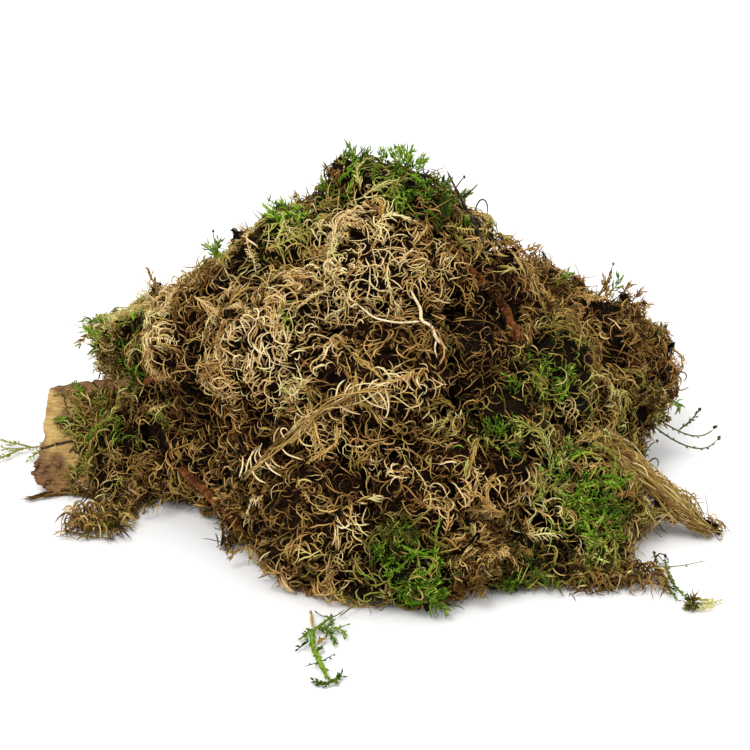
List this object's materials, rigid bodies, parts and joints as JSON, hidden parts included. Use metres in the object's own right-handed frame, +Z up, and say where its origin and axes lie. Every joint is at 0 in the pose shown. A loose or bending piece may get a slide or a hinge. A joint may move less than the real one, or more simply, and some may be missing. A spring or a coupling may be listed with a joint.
{
  "type": "dried sphagnum moss clump",
  "caption": "Loose heap of dried sphagnum moss: curled straw and brown strands, green leafy tufts, a bark slab and strips, a dead twig and a pale rootlet.",
  "frame": {"origin": "on the table under the middle of the heap, at the flat_face mount foot", "axes": "+Z up, -Y towards the heap's best side, +X to the right when it is seen from there"},
  "size_m": [0.276, 0.2577, 0.133],
  "materials": {
    "olive": "dry matt olive-green moss strands",
    "brown": "dry matt brown moss strands",
    "straw": "dry matt straw-coloured moss strands",
    "green": "soft matt bright green moss leaves",
    "bark": "rough dry bark, tan on its inner face",
    "rust": "rough rust-brown bark strip",
    "twig": "rough dark dead wood",
    "root": "smooth pale fibre",
    "pale": "satin pale golden moss shoot"
  },
  "bodies": {
    "root": {"wad_crown": "olive", "wad_crown_right": "olive", "wad_shoulder_left": "brown", "wad_face_high": "straw", "wad_shoulder_right": "brown", "wad_flank_left": "brown", "wad_face_left": "straw", "wad_face_middle": "straw", "wad_face_right": "brown", "wad_flank_right": "brown", "wad_foot_left": "brown", "wad_foot_front_left": "straw", "wad_foot_front": "brown", "wad_foot_middle": "straw", "wad_foot_right": "brown", "wad_foot_far_right": "olive", "wad_wedge": "straw", "wad_left_low": "brown", "wad_left_lobe": "olive", "wad_left_hump": "brown", "wad_left_tail": "olive", "wad_right_hump": "brown", "wad_right_knob": "brown", "wad_right_lobe": "olive", "wad_back_high": "brown", "wad_back_left": "straw", "wad_back_right": "brown", "wad_back_foot": "olive", "wad_shed_left": "brown", "wad_shed_right": "brown", "green_tuft_crown": "green", "green_tuft_peak": "green", "green_tuft_shoulder": "green", "green_tuft_face": "green", "green_tuft_flank": "green", "green_tuft_front": "green", "green_tuft_right": "green", "green_tuft_low": "green", "green_tuft_left_high": "green", "olive_tuft_left_low": "olive", "bark_slab": "bark", "bark_strip_right": "rust", "bark_strip_left": "rust", "bark_strip_lobe": "rust", "dead_twig": "twig", "pale_rootlet": "root", "pale_shoot": "pale", "green_sprig_front": "green", "green_sprig_left": "green", "green_sprig_trailing": "green", "green_sprig_right": "green"}
  },
  "joints": []
}
